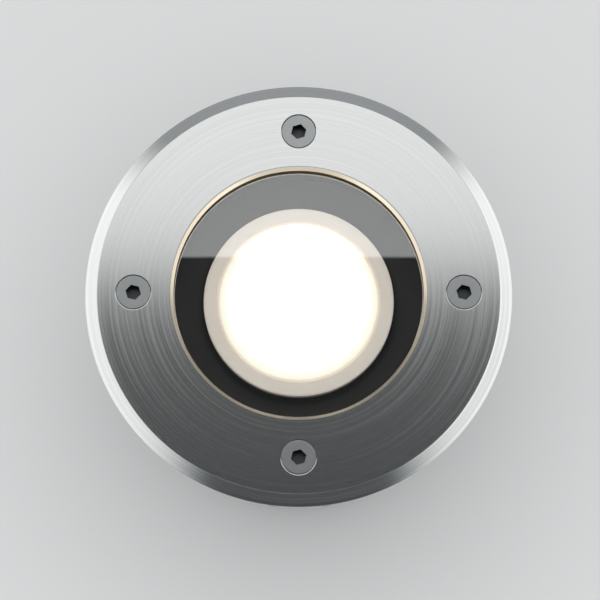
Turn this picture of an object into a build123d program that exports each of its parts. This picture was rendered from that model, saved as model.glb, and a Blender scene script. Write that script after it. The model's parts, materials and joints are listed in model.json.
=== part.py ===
"""In-ground well light: a walk-over luminaire with a twist-lock reflector lamp, in its installation sleeve.

Millimetres. +Z points up out of the ground. The origin is the centre of the sleeve's base.
The light is sized outwards from its lamp: each radius is the one inside it plus a named step,
and each height is the one below it plus a named step.
"""

from build123d import *
from math import cos, radians, sin, sqrt, tan
import os

# ---- Running and seating clearances ----
loose_gap = 0.3  # between curved faces of pieces that lift apart
turning_gap = 0.08  # radial, where one piece turns in or on another
snug_gap = 0.1  # radial, between pieces that stay together

# ---- Lamp ----
lamp_diameter = 50.0
lamp_body_height = 47.0  # front face to the back of the base, without the pins
lamp_rim_height = 3.6
lamp_rim_step = 0.9  # the body starts this much inside the rim
lamp_wall = 2.4
lamp_neck_radius = 15.0  # where the tapered shell meets the base
lamp_base_height = 13.0
lamp_base_end_radius = 11.0
lamp_fin_count = 20
lamp_fin_depth = 1.2
lamp_fin_slot = 2.2
diffuser_radius = 21.12
diffuser_thickness = 1.4
diffuser_groove = 0.35  # the dark line between diffuser and rim
rim_face_drop = 0.1  # rim's face below the diffuser's
rim_fall = 0.2  # how far the rim's outer edge lies below its face
shell_swell = 1.35  # power of the shell's curve, over 1 for a fuller body
lamp_inner_ledge = 2.0  # straight wall under the LED board's seat
lamp_base_shoulder = 1.5
led_board_thickness = 1.6
led_board_drop = 1.0  # below the wall that frames the diffuser
led_count = 9
led_side = 3.0
led_height = 0.7
driver_thickness = 1.6
driver_side_gap = 3.0  # board's edge to the neck's inner wall
driver_foot_gap = 1.0  # board's foot to the lamp base
coil_length = 9.0
coil_depth = 6.0
coil_height = 8.0
capacitor_radius = 3.2
capacitor_length = 7.0

# ---- Lamp pins and their twist-lock slots ----
pin_spacing = 10.0
pin_neck_radius = 1.6
pin_head_radius = 2.5
pin_head_height = 2.6
pin_head_edge = 0.4
pin_length = 7.0
lock_angle = 25.0  # degrees that the lamp turns between locked and free
pin_clearance = 0.35

# ---- Lampholder, its bracket and their screws ----
holder_length = 31.0
holder_width = 19.0
holder_height = 18.0
holder_lip = 3.4  # ceramic above the pin heads
holder_edge = 0.8
holder_gap = 0.3  # between lamp base and lampholder
holder_pocket_depth = 10.0
contact_thickness = 0.5
contact_width = 3.0
bracket_thickness = 1.2
bracket_width = 15.0
bracket_flange = 3.0
bracket_wall_gap = 0.8  # from the bracket's ends to the chamber wall
lead_way_width = 5.0  # slot in the bracket for the lampholder's leads
post_radius = 3.6
post_inset = 6.5  # from the chamber wall to the axis of a bracket post
small_screw_radius = 1.5  # M3
small_head_radius = 2.8
small_head_height = 1.9
small_screw_bite = 6.0
driver_slot_width = 0.5  # slot across every screw head but the cover's
holder_screw_spacing = 24.0

# ---- Radial steps outwards from the lamp ----
lamp_air_gap = 10.0  # lamp rim to chamber wall
seat_width = 2.5  # ledge that carries the glass seal
gasket_wall = 1.6
gasket_lip = 0.8  # thickness of the seal's two lips
gasket_show = 0.3  # how far the upper lip shows inside the aperture
gasket_foot = 2.5  # how far the lower lip runs under the glass
glass_overlap = 3.3  # how far the glass runs under the cover ring
collar_wall = 4.0  # the ring's collar that presses on the seal
boss_offset = 5.0  # glass pocket wall to screw axis
flange_margin = 7.5  # screw axis to the housing flange's edge
ledge_width = 2.0  # sleeve ledge that carries the flange
sleeve_rim_width = 2.1
ring_overhang = 2.6  # cover ring beyond the sleeve's rim

# ---- Vertical steps upwards from the base ----
sleeve_floor = 3.0
cable_room = 5.0
nut_length = 15.0
gland_flange = 5.0
seal_ring_thickness = 1.5
housing_floor = 3.5
wiring_room = 14.6
lamp_glass_gap = 4.9
glass_thickness = 6.0
collar_depth = 1.2

# ---- Cover ring ----
ring_relief = 0.3  # underside turned down inside the rim, where the flange seats
ring_land = 0.55  # metal left under the countersinks
chamfer_width = 3.14
chamfer_depth = 1.89
aperture_bevel = 0.9

# ---- Cover screws ----
screw_count = 4
screw_radius = 2.5  # M5
screw_head_radius = 4.35
screw_head_edge = 0.3  # straight edge above the 90 degree cone
screw_length = 16.0
screw_gap = 0.15  # radial, screw to ring
hex_key = 3.2  # across flats
hex_depth = 2.4
hex_turn = 46.0  # degrees from the radial line to a corner of the socket
boss_radius = 4.6
boss_floor = 2.0  # metal left under the tapped hole
retainer_radius = 3.5
retainer_thickness = 1.0

# ---- Housing ----
housing_wall = 3.0
pocket_wall = 2.8
flange_thickness = 4.5
housing_draft = 1.5  # degrees
plate_drop = 8.0  # lamp face to the support plate's top
plate_thickness = 1.5
plate_collar = 2.2  # turned-down collar round the lamp
plate_lamp_gap = 0.7
plate_ledge = 2.0
fin_per_quarter = 3
fin_thickness = 2.2
fin_reach = 5.2
fin_start = 7.0  # below the flange
fin_end = 6.0  # above the housing's foot
foot_radius = 5.0

# ---- Terminal block and earth ----
pole_count = 3
pole_pitch = 9.0
block_end_wall = 0.5
block_depth = 13.0
block_height = 11.0
block_wall_gap = 0.7  # from the block's corners to the chamber wall
block_shoulder = 3.0
barrel_radius = 2.2
barrel_bore = 1.5
terminal_screw_radius = 1.3
terminal_screw_head = 1.5
terminal_slot_depth = 0.6
terminal_screw_drop = 1.0  # heads below the block's top
terminal_screw_reach = 0.6  # how far a screw's end reaches into its barrel's bore
earth_offset = 20.0  # from the axis towards -Y
earth_boss_radius = 4.5
earth_boss_height = 4.0
earth_screw_radius = 2.0  # M4
earth_head_radius = 3.6
earth_head_height = 2.4
earth_screw_bite = 6.0
washer_radius = 4.4
washer_thickness = 1.0
washer_lip = 0.8

# ---- Cable gland ----
gland_thread_radius = 8.0  # M16
gland_hex = 22.0  # across flats
gland_stub_end = 1.5  # thread above the locknut
seal_ring_inset = 0.4  # seal ring inside the hexagon's flats
gland_bore_radius = 5.2
gland_sleeve_radius = 8.8
gland_sleeve_length = 9.0
insert_radius = 7.0
insert_bore_radius = 4.2
insert_length = 8.0
locknut_height = 4.0
locknut_hex = 20.0
nut_hex = 22.0
nut_hex_length = 9.0
nut_mouth_radius = 6.4
nut_mouth_wall = 1.6
nut_cable_gap = 0.9  # radial, cable to mouth
nut_cone = 1.5  # height of the inner cone that squeezes the insert
nose_step = 0.2  # nose inside the hexagon's flats
nose_fall = 0.8

# ---- Installation sleeve ----
sleeve_wall = 2.2
sleeve_rim_height = 7.0
sleeve_taper = 7.0  # how much the radius falls from the ledge to the base
sleeve_rib_count = 16
sleeve_rib_width = 2.0
sleeve_rib_reach = 1.3
anchor_ring_count = 2
anchor_ring_height = 2.4
sleeve_base_hole_radius = 15.0
drain_hole_radius = 4.0
drain_hole_count = 8
cable_slot_width = 18.0
cable_slot_height = 26.0
cable_slot_sill = 4.0  # above the sleeve's floor

# ---- Radii, from the lamp outwards ----
lamp_radius = lamp_diameter / 2
chamber_radius = lamp_radius + lamp_air_gap
pocket_radius = chamber_radius + seat_width
gasket_radius = pocket_radius - loose_gap
glass_radius = gasket_radius - gasket_wall - snug_gap
aperture_radius = glass_radius - glass_overlap
collar_radius = aperture_radius + collar_wall
screw_circle = pocket_radius + boss_offset
flange_radius = screw_circle + flange_margin
sleeve_mouth_radius = flange_radius + loose_gap
sleeve_ledge_radius = flange_radius - ledge_width
sleeve_rim_radius = sleeve_mouth_radius + sleeve_rim_width
ring_radius = sleeve_rim_radius + ring_overhang
ledge_radius = chamber_radius - plate_ledge

# ---- Heights, from the base up ----
sleeve_floor_top = sleeve_floor
nut_end_z = sleeve_floor_top + cable_room
gland_flange_z = nut_end_z + nut_length
seal_ring_z = gland_flange_z + gland_flange
housing_base_z = seal_ring_z + seal_ring_thickness
housing_floor_z = housing_base_z + housing_floor
bracket_z = housing_floor_z + wiring_room
holder_z = bracket_z + bracket_thickness
holder_top_z = holder_z + holder_height
lamp_back_z = holder_top_z + holder_gap
lamp_neck_z = lamp_back_z + lamp_base_height
lamp_face_z = lamp_back_z + lamp_body_height
glass_z = lamp_face_z + lamp_glass_gap
glass_top_z = glass_z + glass_thickness
seat_z = glass_z - gasket_lip
collar_z = glass_top_z + gasket_lip
ground_z = collar_z + collar_depth
flange_top_z = ground_z + ring_relief
flange_z = ground_z - flange_thickness
screw_head_height = screw_head_edge + screw_head_radius - screw_radius
ring_top_z = flange_top_z + ring_land + screw_head_height
plate_top_z = lamp_face_z - plate_drop
plate_z = plate_top_z - plate_thickness
led_board_top_z = lamp_face_z - diffuser_thickness - lamp_wall - led_board_drop
led_board_z = led_board_top_z - led_board_thickness
screw_tip_z = ring_top_z - screw_length
boss_z = screw_tip_z - loose_gap - boss_floor

# ---- Places inside the drafted chamber ----
chamber_fall = tan(radians(housing_draft))
floor_radius = ledge_radius - chamber_fall * (plate_z - housing_floor_z)
post_circle = floor_radius - post_inset
bracket_half_length = floor_radius - bracket_wall_gap
block_length = pole_pitch * pole_count + 2 * block_end_wall
block_far_side = sqrt((floor_radius - block_wall_gap) ** 2 - (block_length / 2) ** 2)
block_offset = block_far_side - block_depth / 2
fixing_screw_place = (pole_pitch / 2, block_offset)
fixing_screw_bite = 0.7 * housing_floor


def turned(points, centre=(0, 0)):
    """A solid of revolution about a vertical axis, from a closed (radius, height) outline."""
    outline = make_face(Plane.XZ * Polyline(*points, close=True))
    return Pos(centre[0], centre[1], 0) * revolve(outline, Axis.Z)


def disc(radius, bottom, top, centre=(0, 0)):
    """A plain upright cylinder between two heights."""
    middle = (bottom + top) / 2
    return Pos(centre[0], centre[1], middle) * Cylinder(radius, top - bottom)


def washer(outer, inner, bottom, top, centre=(0, 0)):
    """A flat ring between two heights."""
    return disc(outer, bottom, top, centre) - disc(inner, bottom, top, centre)


def prism(sketch, bottom, top, centre=(0, 0)):
    """A flat sketch raised between two heights."""
    return Pos(centre[0], centre[1], bottom) * extrude(sketch, top - bottom)


def hexagon(across_flats, turn=0.0):
    """A hexagon by its size across flats, with a corner at the angle turn."""
    return Rot(0, 0, turn) * RegularPolygon(across_flats / 2, 6, major_radius=False)


def polar(radius, count, start=0.0):
    """Points evenly spaced on a circle, as (angle, x, y)."""
    angles = [start + 360.0 * i / count for i in range(count)]
    return [(a, radius * cos(radians(a)), radius * sin(radians(a))) for a in angles]


def arc_slot(radius, half_width, sweep, start):
    """A slot that follows a circle about the origin, over sweep degrees anticlockwise from start."""
    middle = CenterArc((0, 0), radius, start, sweep)
    ends = [Pos(*(middle @ t)) * Circle(half_width) for t in (0, 1)]
    band = Circle(radius + half_width) - Circle(radius - half_width)
    far = 4 * radius
    first, last = radians(start), radians(start + sweep)
    wedge = make_face(
        Polyline(
            (0, 0),
            (far * cos(first), far * sin(first)),
            (far * cos(last), far * sin(last)),
            close=True,
        )
    )
    return (band & wedge) + ends[0] + ends[1]


# ---- Cover ring, glass and seal ----


def make_bezel_ring():
    """Turned cover ring: chamfers, relieved underside, collar round the aperture, countersinks."""
    body = turned(
        [
            (aperture_radius, collar_z),
            (collar_radius, collar_z),
            (collar_radius, flange_top_z),
            (sleeve_rim_radius + snug_gap, flange_top_z),
            (sleeve_rim_radius + snug_gap, ground_z),
            (ring_radius, ground_z),
            (ring_radius, ring_top_z - chamfer_depth),
            (ring_radius - chamfer_width, ring_top_z),
            (aperture_radius + aperture_bevel, ring_top_z),
            (aperture_radius, ring_top_z - aperture_bevel),
        ]
    )
    sink = screw_head_radius + screw_gap
    shank = screw_radius + screw_gap
    sink_z = ring_top_z - screw_head_edge
    for _, x, y in polar(screw_circle, screw_count):
        body -= turned(
            [
                (0, collar_z),
                (shank, collar_z),
                (shank, sink_z - (sink - shank)),
                (sink, sink_z),
                (sink, ring_top_z),
                (0, ring_top_z),
            ],
            (x, y),
        )
    return body


def make_cover_screw(angle, x, y):
    """Countersunk hex-socket screw, flush with the cover ring."""
    cone_z = ring_top_z - screw_head_edge
    tip = 0.6 * screw_radius
    tip_chamfer = screw_radius - tip
    body = turned(
        [
            (0, screw_tip_z),
            (tip, screw_tip_z),
            (screw_radius, screw_tip_z + tip_chamfer),
            (screw_radius, ring_top_z - screw_head_height),
            (screw_head_radius, cone_z),
            (screw_head_radius, ring_top_z),
            (0, ring_top_z),
        ],
        (x, y),
    )
    socket = hexagon(hex_key, angle + hex_turn)
    return body - prism(socket, ring_top_z - hex_depth, ring_top_z, (x, y))


def make_screw_retainers():
    """Washers under the ring that keep the cover screws captive."""
    inner = screw_radius + turning_gap
    low = flange_top_z - retainer_thickness
    return [
        washer(retainer_radius, inner, low, flange_top_z, (x, y))
        for _, x, y in polar(screw_circle, screw_count)
    ]


def make_front_glass():
    """Toughened clear disc with ground edges."""
    pane = disc(glass_radius, glass_z, glass_top_z)
    return chamfer(pane.edges(), 0.1 * glass_thickness)


def make_glass_gasket():
    """U-section seal that wraps the glass edge. Its upper lip shows inside the aperture."""
    web = gasket_radius - gasket_wall
    return turned(
        [
            (aperture_radius - gasket_show, glass_top_z),
            (web, glass_top_z),
            (web, glass_z),
            (web - gasket_foot, glass_z),
            (web - gasket_foot, seat_z),
            (gasket_radius, seat_z),
            (gasket_radius, collar_z),
            (aperture_radius - gasket_show, collar_z),
        ]
    )


# ---- Housing ----


def housing_shell():
    """Cast cup with the flange, the glass pocket and a drafted chamber."""
    barrel_radius_top = chamber_radius + housing_wall
    step_z = seat_z - housing_wall
    foot_z = housing_base_z + foot_radius
    barrel_radius_foot = barrel_radius_top - chamber_fall * (step_z - foot_z)
    cup = turned(
        [
            (0, housing_base_z),
            (barrel_radius_foot - foot_radius, housing_base_z),
            (barrel_radius_foot, foot_z),
            (barrel_radius_top, step_z - pocket_wall),
            (pocket_radius + pocket_wall, step_z + pocket_wall),
            (pocket_radius + pocket_wall, flange_z),
            (flange_radius, flange_z),
            (flange_radius, flange_top_z),
            (pocket_radius, flange_top_z),
            (pocket_radius, seat_z),
            (chamber_radius, seat_z),
            (chamber_radius, plate_z),
            (ledge_radius, plate_z),
            (floor_radius, housing_floor_z),
            (0, housing_floor_z),
        ]
    )
    return cup, barrel_radius_top, barrel_radius_foot


def housing_fins(top_radius, foot_radius_out):
    """Cooling fins down the barrel, in groups between the screw bosses."""
    top = flange_z - fin_start
    low = housing_base_z + fin_end
    bury = 0.5 * housing_wall
    outline = [
        (foot_radius_out - bury, low),
        (foot_radius_out + 0.5 * fin_reach, low),
        (foot_radius_out + fin_reach, low + fin_reach),
        (top_radius + fin_reach, top),
        (top_radius - bury, top),
    ]
    side = make_face(Plane.XZ * Polyline(*outline, close=True))
    fin = extrude(side, fin_thickness / 2, both=True)
    step = 360.0 / screw_count / (fin_per_quarter + 1)
    places = range(screw_count * (fin_per_quarter + 1))
    return [Rot(0, 0, step * i) * fin for i in places if i % (fin_per_quarter + 1)]


def boss_web(top_radius):
    """Cast web that ties a screw boss to the barrel."""
    low = boss_z - boss_radius
    inside = top_radius - 0.5 * housing_wall
    outline = [
        (inside, low - boss_radius),
        (screw_circle, low),
        (screw_circle, flange_z),
        (inside, flange_z),
    ]
    side = make_face(Plane.XZ * Polyline(*outline, close=True))
    return extrude(side, 0.5 * boss_radius, both=True) - disc(pocket_radius, seat_z, flange_z)


def make_housing():
    """Die-cast body: cup, fins, screw bosses, bracket posts, earth boss and gland hole."""
    body, top_radius, foot_radius_out = housing_shell()
    for fin in housing_fins(top_radius, foot_radius_out):
        body += fin
    web = boss_web(top_radius)
    for angle, x, y in polar(screw_circle, screw_count):
        body += Rot(0, 0, angle) * web
        boss = turned(
            [
                (0, boss_z - boss_radius),
                (0.4 * boss_radius, boss_z - boss_radius),
                (boss_radius, boss_z),
                (boss_radius, flange_z),
                (0, flange_z),
            ],
            (x, y),
        )
        body += boss - disc(pocket_radius, boss_z - boss_radius, flange_z)
    for _, x, y in polar(screw_circle, screw_count):
        tapped = screw_radius + turning_gap
        recess = flange_top_z - retainer_thickness - loose_gap
        body -= disc(tapped, boss_z + boss_floor, flange_top_z, (x, y))
        body -= disc(retainer_radius + loose_gap, recess, flange_top_z, (x, y))
    for _, x, y in polar(post_circle, 2):
        body += disc(post_radius, housing_floor_z, bracket_z, (x, y))
        body -= disc(small_screw_radius + snug_gap, bracket_z - small_screw_bite, bracket_z, (x, y))
    earth_top = housing_floor_z + earth_boss_height
    earth_hole = earth_screw_radius + snug_gap
    body += disc(earth_boss_radius, housing_floor_z, earth_top, (0, -earth_offset))
    body -= disc(earth_hole, earth_top - earth_screw_bite, earth_top, (0, -earth_offset))
    fixing_hole = small_screw_radius + snug_gap
    fixing_low = housing_floor_z - fixing_screw_bite
    body -= disc(fixing_hole, fixing_low, housing_floor_z, fixing_screw_place)
    body -= disc(gland_thread_radius + snug_gap, housing_base_z, housing_floor_z)
    return body


def make_lamp_support_plate():
    """Black plate that centres the lamp, with a turned-down collar round the hole."""
    hole = lamp_profile_radius(plate_z - plate_collar) + plate_lamp_gap
    hole_top = lamp_profile_radius(plate_top_z) + plate_lamp_gap
    edge = chamber_radius - loose_gap
    return turned(
        [
            (hole_top, plate_top_z),
            (hole, plate_z - plate_collar),
            (hole + plate_thickness, plate_z - plate_collar),
            (hole_top + plate_thickness, plate_z),
            (edge, plate_z),
            (edge, plate_top_z),
        ]
    )


# ---- Lamp ----


def lamp_profile_radius(height):
    """Radius of the lamp's tapered shell at a height."""
    top = lamp_face_z - lamp_rim_height
    share = (top - height) / (top - lamp_neck_z)
    wide = lamp_radius - lamp_rim_step
    return wide - (wide - lamp_neck_radius) * share**shell_swell


def make_lamp_shell():
    """Tapered hollow shell with cooling slots and the rim that frames the diffuser."""
    rim_z = lamp_face_z - lamp_rim_height
    rim_face_z = lamp_face_z - rim_face_drop
    recess = lamp_face_z - diffuser_thickness
    steps = 6
    heights = [rim_z - (rim_z - lamp_neck_z) * i / steps for i in range(steps + 1)]
    outside = [(lamp_profile_radius(h), h) for h in heights]
    inside = [(r - lamp_wall, h) for r, h in outside]
    ledge = diffuser_radius - lamp_wall
    shell = turned(
        [
            (diffuser_radius + diffuser_groove, recess),
            (diffuser_radius + diffuser_groove, rim_face_z),
            (lamp_radius - 2 * rim_fall, rim_face_z),
            (lamp_radius, rim_face_z - rim_fall),
            (lamp_radius, rim_z),
        ]
        + outside
        + [inside[-1]]
        + [(r, h) for r, h in reversed(inside[1:-1]) if r < ledge]
        + [(ledge, recess - led_board_thickness - lamp_inner_ledge), (ledge, recess)]
    )
    slot_top = heights[1]
    slot_low = heights[-1] + lamp_wall
    bottoms = [(r - lamp_fin_depth, h) for r, h in outside[1:-1]]
    low_bottom = (lamp_profile_radius(slot_low) - lamp_fin_depth, slot_low)
    cut_outline = bottoms + [low_bottom, (lamp_radius, slot_low), (lamp_radius, slot_top)]
    side = make_face(Plane.XZ * Polyline(*cut_outline, close=True))
    cutter = extrude(side, lamp_fin_slot / 2, both=True)
    for angle, _, _ in polar(1, lamp_fin_count):
        shell -= Rot(0, 0, angle) * cutter
    return shell


def make_lamp_diffuser():
    """Frosted disc that shines."""
    edge = 0.25 * diffuser_thickness
    return turned(
        [
            (0, lamp_face_z - diffuser_thickness),
            (diffuser_radius, lamp_face_z - diffuser_thickness),
            (diffuser_radius, lamp_face_z - edge),
            (diffuser_radius - edge, lamp_face_z),
            (0, lamp_face_z),
        ]
    )


def make_led_board():
    """Round aluminium circuit board with its LED packages in a ring."""
    radius = diffuser_radius - lamp_wall - snug_gap
    board = disc(radius, led_board_z, led_board_top_z)
    package = Box(led_side, led_side, led_height)
    for _, x, y in polar(0.6 * radius, led_count):
        board += Pos(x, y, led_board_top_z + led_height / 2) * package
    return board


def make_driver_board():
    """Upright circuit board behind the LEDs, with its coil and capacitor."""
    low = lamp_neck_z + driver_foot_gap
    height = led_board_z - low
    width = 2 * (lamp_neck_radius - lamp_wall - driver_side_gap)
    board = Pos(0, 0, low + height / 2) * Box(width, driver_thickness, height)
    coil = Box(coil_length, coil_depth, coil_height)
    board += Pos(0, (driver_thickness + coil_depth) / 2, low + 0.35 * height) * coil
    capacitor = Rot(90, 0, 0) * Cylinder(capacitor_radius, capacitor_length)
    return board + Pos(0, -(driver_thickness + capacitor_length) / 2, low + 0.3 * height) * capacitor


def make_lamp_base():
    """Insulating base between the shell and the pins."""
    return turned(
        [
            (0, lamp_back_z),
            (lamp_base_end_radius, lamp_back_z),
            (lamp_base_end_radius, lamp_back_z + 0.45 * lamp_base_height),
            (lamp_neck_radius - lamp_wall, lamp_neck_z - lamp_base_shoulder),
            (lamp_neck_radius, lamp_neck_z - lamp_base_shoulder),
            (lamp_neck_radius, lamp_neck_z),
            (0, lamp_neck_z),
        ]
    )


def make_lamp_pins():
    """Two headed contact pins."""
    tip = lamp_back_z - pin_length
    return [
        turned(
            [
                (0, tip),
                (pin_head_radius - pin_head_edge, tip),
                (pin_head_radius, tip + pin_head_edge),
                (pin_head_radius, tip + pin_head_height),
                (pin_neck_radius, tip + pin_head_height),
                (pin_neck_radius, lamp_back_z),
                (0, lamp_back_z),
            ],
            (x, y),
        )
        for _, x, y in polar(pin_spacing / 2, 2)
    ]


# ---- Lampholder and bracket ----


def make_lampholder():
    """Ceramic block with two keyhole slots: heads enter at the wide end and lock under the narrow one."""
    block = prism(SlotOverall(holder_length, holder_width), holder_z, holder_top_z)
    block = chamfer(block.edges().group_by(Axis.Z)[-1], holder_edge)
    lip_z = holder_top_z - holder_lip
    pocket_z = holder_top_z - holder_pocket_depth
    radius = pin_spacing / 2
    neck = pin_neck_radius + pin_clearance
    head = pin_head_radius + pin_clearance
    for start in (0.0, 180.0):
        way_in = radians(start + lock_angle)
        block -= prism(arc_slot(radius, head, lock_angle, start), pocket_z, lip_z)
        block -= prism(arc_slot(radius, neck, lock_angle, start), lip_z, holder_top_z)
        entry = (radius * cos(way_in), radius * sin(way_in))
        block -= disc(head, lip_z, holder_top_z, entry)
    for side in (-1, 1):
        x = side * holder_screw_spacing / 2
        block -= disc(small_screw_radius + snug_gap, holder_z, holder_z + small_screw_bite, (x, 0))
    return block


def make_holder_contacts():
    """Two brass leaf springs that rise from the pockets' floors to the pin heads."""
    low = holder_top_z - holder_pocket_depth
    high = lamp_back_z - pin_length - loose_gap
    foot = pin_head_radius - contact_thickness
    crown = 0.4 * foot
    outline = [
        (-foot, low),
        (contact_thickness - foot, low),
        (contact_thickness - crown, high - contact_thickness),
        (crown - contact_thickness, high - contact_thickness),
        (foot - contact_thickness, low),
        (foot, low),
        (crown, high),
        (-crown, high),
    ]
    side = make_face(Plane.XZ * Polyline(*outline, close=True))
    leaf = extrude(side, contact_width / 2, both=True)
    return [Pos(side * pin_spacing / 2, 0, 0) * leaf for side in (-1, 1)]


def make_holder_bracket():
    """Pressed strip with turned-down edges, across the two cast posts."""
    strip = prism(SlotOverall(2 * bracket_half_length, bracket_width), bracket_z, holder_z)
    rail_length = 2 * (post_circle - post_radius - small_head_radius)
    for side in (-1, 1):
        y = side * (bracket_width - bracket_thickness) / 2
        rail = Box(rail_length, bracket_thickness, bracket_flange)
        strip += Pos(0, y, bracket_z - bracket_flange / 2) * rail
        hole = small_screw_radius + snug_gap
        strip -= disc(hole, bracket_z, holder_z, (side * post_circle, 0))
        strip -= disc(hole, bracket_z, holder_z, (side * holder_screw_spacing / 2, 0))
    lead_way = prism(SlotOverall(pin_spacing, lead_way_width), bracket_z, holder_z)
    return strip - lead_way


def pan_screw(x, y, seat_z_at, up, bite, shank, head, head_height):
    """Pan-head screw whose head seats at a height, with its shank pointing down, or up."""
    way = -1 if up else 1
    body = turned(
        [
            (0, seat_z_at - way * bite),
            (shank, seat_z_at - way * bite),
            (shank, seat_z_at),
            (head, seat_z_at),
            (head, seat_z_at + way * 0.6 * head_height),
            (0.6 * head, seat_z_at + way * head_height),
            (0, seat_z_at + way * head_height),
        ],
        (x, y),
    )
    slot = Box(driver_slot_width, 1.3 * head, 0.8 * head_height)
    return body - Pos(x, y, seat_z_at + way * head_height) * slot


def make_holder_screws():
    """Screws up through the bracket into the lampholder."""
    bite = bracket_thickness + small_screw_bite - loose_gap
    return [
        pan_screw(side * holder_screw_spacing / 2, 0, bracket_z, True, bite, small_screw_radius,
                  small_head_radius, small_head_height)
        for side in (-1, 1)
    ]


def make_bracket_screws():
    """Screws down through the bracket into the cast posts."""
    bite = bracket_thickness + small_screw_bite - loose_gap
    return [
        pan_screw(side * post_circle, 0, holder_z, False, bite, small_screw_radius,
                  small_head_radius, small_head_height)
        for side in (-1, 1)
    ]


# ---- Terminal block and earth ----


def pole_places():
    """X of each pole of the terminal block."""
    first = -pole_pitch * (pole_count - 1) / 2
    return [first + pole_pitch * i for i in range(pole_count)]


def barrel_height():
    """Height of the terminal barrels' axes."""
    return housing_floor_z + 0.42 * block_height


def make_terminal_block():
    """Moulded block: stepped in profile, with a bore and two screw wells for each pole."""
    half = block_depth / 2
    top = housing_floor_z + block_height
    shoulder_z = housing_floor_z + 0.62 * block_height
    outline = [
        (-half, housing_floor_z),
        (half, housing_floor_z),
        (half, shoulder_z),
        (half - block_shoulder, top),
        (block_shoulder - half, top),
        (-half, shoulder_z),
    ]
    side = make_face(Plane.YZ * Polyline(*outline, close=True))
    block = Pos(0, block_offset, 0) * extrude(side, block_length / 2, both=True)
    for x in pole_places():
        bore = Pos(x, block_offset, barrel_height()) * Rot(90, 0, 0)
        block -= bore * Cylinder(barrel_radius + snug_gap, block_depth)
        for side_y in (-1, 1):
            well = (x, block_offset + side_y * 0.27 * block_depth)
            block -= disc(terminal_screw_head + snug_gap, barrel_height(), top, well)
    return block - disc(small_screw_radius + snug_gap, housing_floor_z, top, fixing_screw_place)


def make_terminal_barrels():
    """Brass tubes that hold the conductors."""
    length = 0.86 * block_depth
    barrels = []
    for x in pole_places():
        place = Pos(x, block_offset, barrel_height()) * Rot(90, 0, 0)
        tube = place * (Cylinder(barrel_radius, length) - Cylinder(barrel_bore, length))
        for side_y in (-1, 1):
            hole = (x, block_offset + side_y * 0.27 * block_depth)
            tube -= disc(terminal_screw_radius + snug_gap, barrel_height(),
                         barrel_height() + 2 * barrel_radius, hole)
        barrels.append(tube)
    return barrels


def make_terminal_screws():
    """Clamp screws, two for each barrel."""
    top = housing_floor_z + block_height - terminal_screw_drop
    low = barrel_height() + barrel_bore - terminal_screw_reach
    neck = barrel_height() + barrel_radius + snug_gap
    slot = Box(driver_slot_width, 3 * terminal_screw_head, 2 * terminal_slot_depth)
    screws = []
    for x in pole_places():
        for side_y in (-1, 1):
            place = (x, block_offset + side_y * 0.27 * block_depth)
            body = turned(
                [
                    (0, low),
                    (terminal_screw_radius, low),
                    (terminal_screw_radius, neck),
                    (terminal_screw_head, neck),
                    (terminal_screw_head, top),
                    (0, top),
                ],
                place,
            )
            screws.append(body - Pos(place[0], place[1], top) * slot)
    return screws


def make_terminal_fixing_screw():
    """Screw that holds the block to the housing's floor."""
    top = housing_floor_z + block_height
    bite = block_height + fixing_screw_bite - loose_gap
    return pan_screw(*fixing_screw_place, top, False, bite, small_screw_radius,
                     small_head_radius, small_head_height)


def earth_seat():
    """Height of the earth boss's top."""
    return housing_floor_z + earth_boss_height


def make_earth_washer():
    """Cup washer that traps the earth conductor."""
    low = earth_seat()
    inner = earth_screw_radius + snug_gap
    return turned(
        [
            (inner, low),
            (washer_radius, low),
            (washer_radius, low + 1.5 * washer_thickness),
            (washer_radius - washer_lip, low + washer_thickness),
            (inner, low + washer_thickness),
        ],
        (0, -earth_offset),
    )


def make_earth_screw():
    """Screw of the earth terminal."""
    bite = washer_thickness + earth_screw_bite - loose_gap
    return pan_screw(0, -earth_offset, earth_seat() + washer_thickness, False, bite,
                     earth_screw_radius, earth_head_radius, earth_head_height)


# ---- Cable gland ----


def make_gland_body():
    """Hex flange with a threaded stub up through the housing's floor and a sleeve down round the seal."""
    stub_top = housing_floor_z + locknut_height + gland_stub_end
    sleeve_z = gland_flange_z - gland_sleeve_length
    body = prism(hexagon(gland_hex), gland_flange_z, seal_ring_z)
    body += disc(gland_thread_radius, seal_ring_z, stub_top)
    body += disc(gland_sleeve_radius, sleeve_z, gland_flange_z)
    body -= disc(gland_bore_radius, sleeve_z, stub_top)
    return body - disc(insert_radius + snug_gap, sleeve_z, sleeve_z + insert_length)


def make_gland_seal_ring():
    """Flat seal between the gland's flange and the housing."""
    outer = 0.5 * gland_hex - seal_ring_inset
    return washer(outer, gland_thread_radius + snug_gap, seal_ring_z, housing_base_z)


def make_gland_locknut():
    """Thin hexagon nut inside the housing."""
    nut = prism(hexagon(locknut_hex), housing_floor_z, housing_floor_z + locknut_height)
    return nut - disc(gland_thread_radius + snug_gap, housing_floor_z, housing_floor_z + locknut_height)


def make_gland_seal_insert():
    """Rubber bush that grips the supply cable."""
    low = gland_flange_z - gland_sleeve_length
    return washer(insert_radius, insert_bore_radius, low, low + insert_length)


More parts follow.
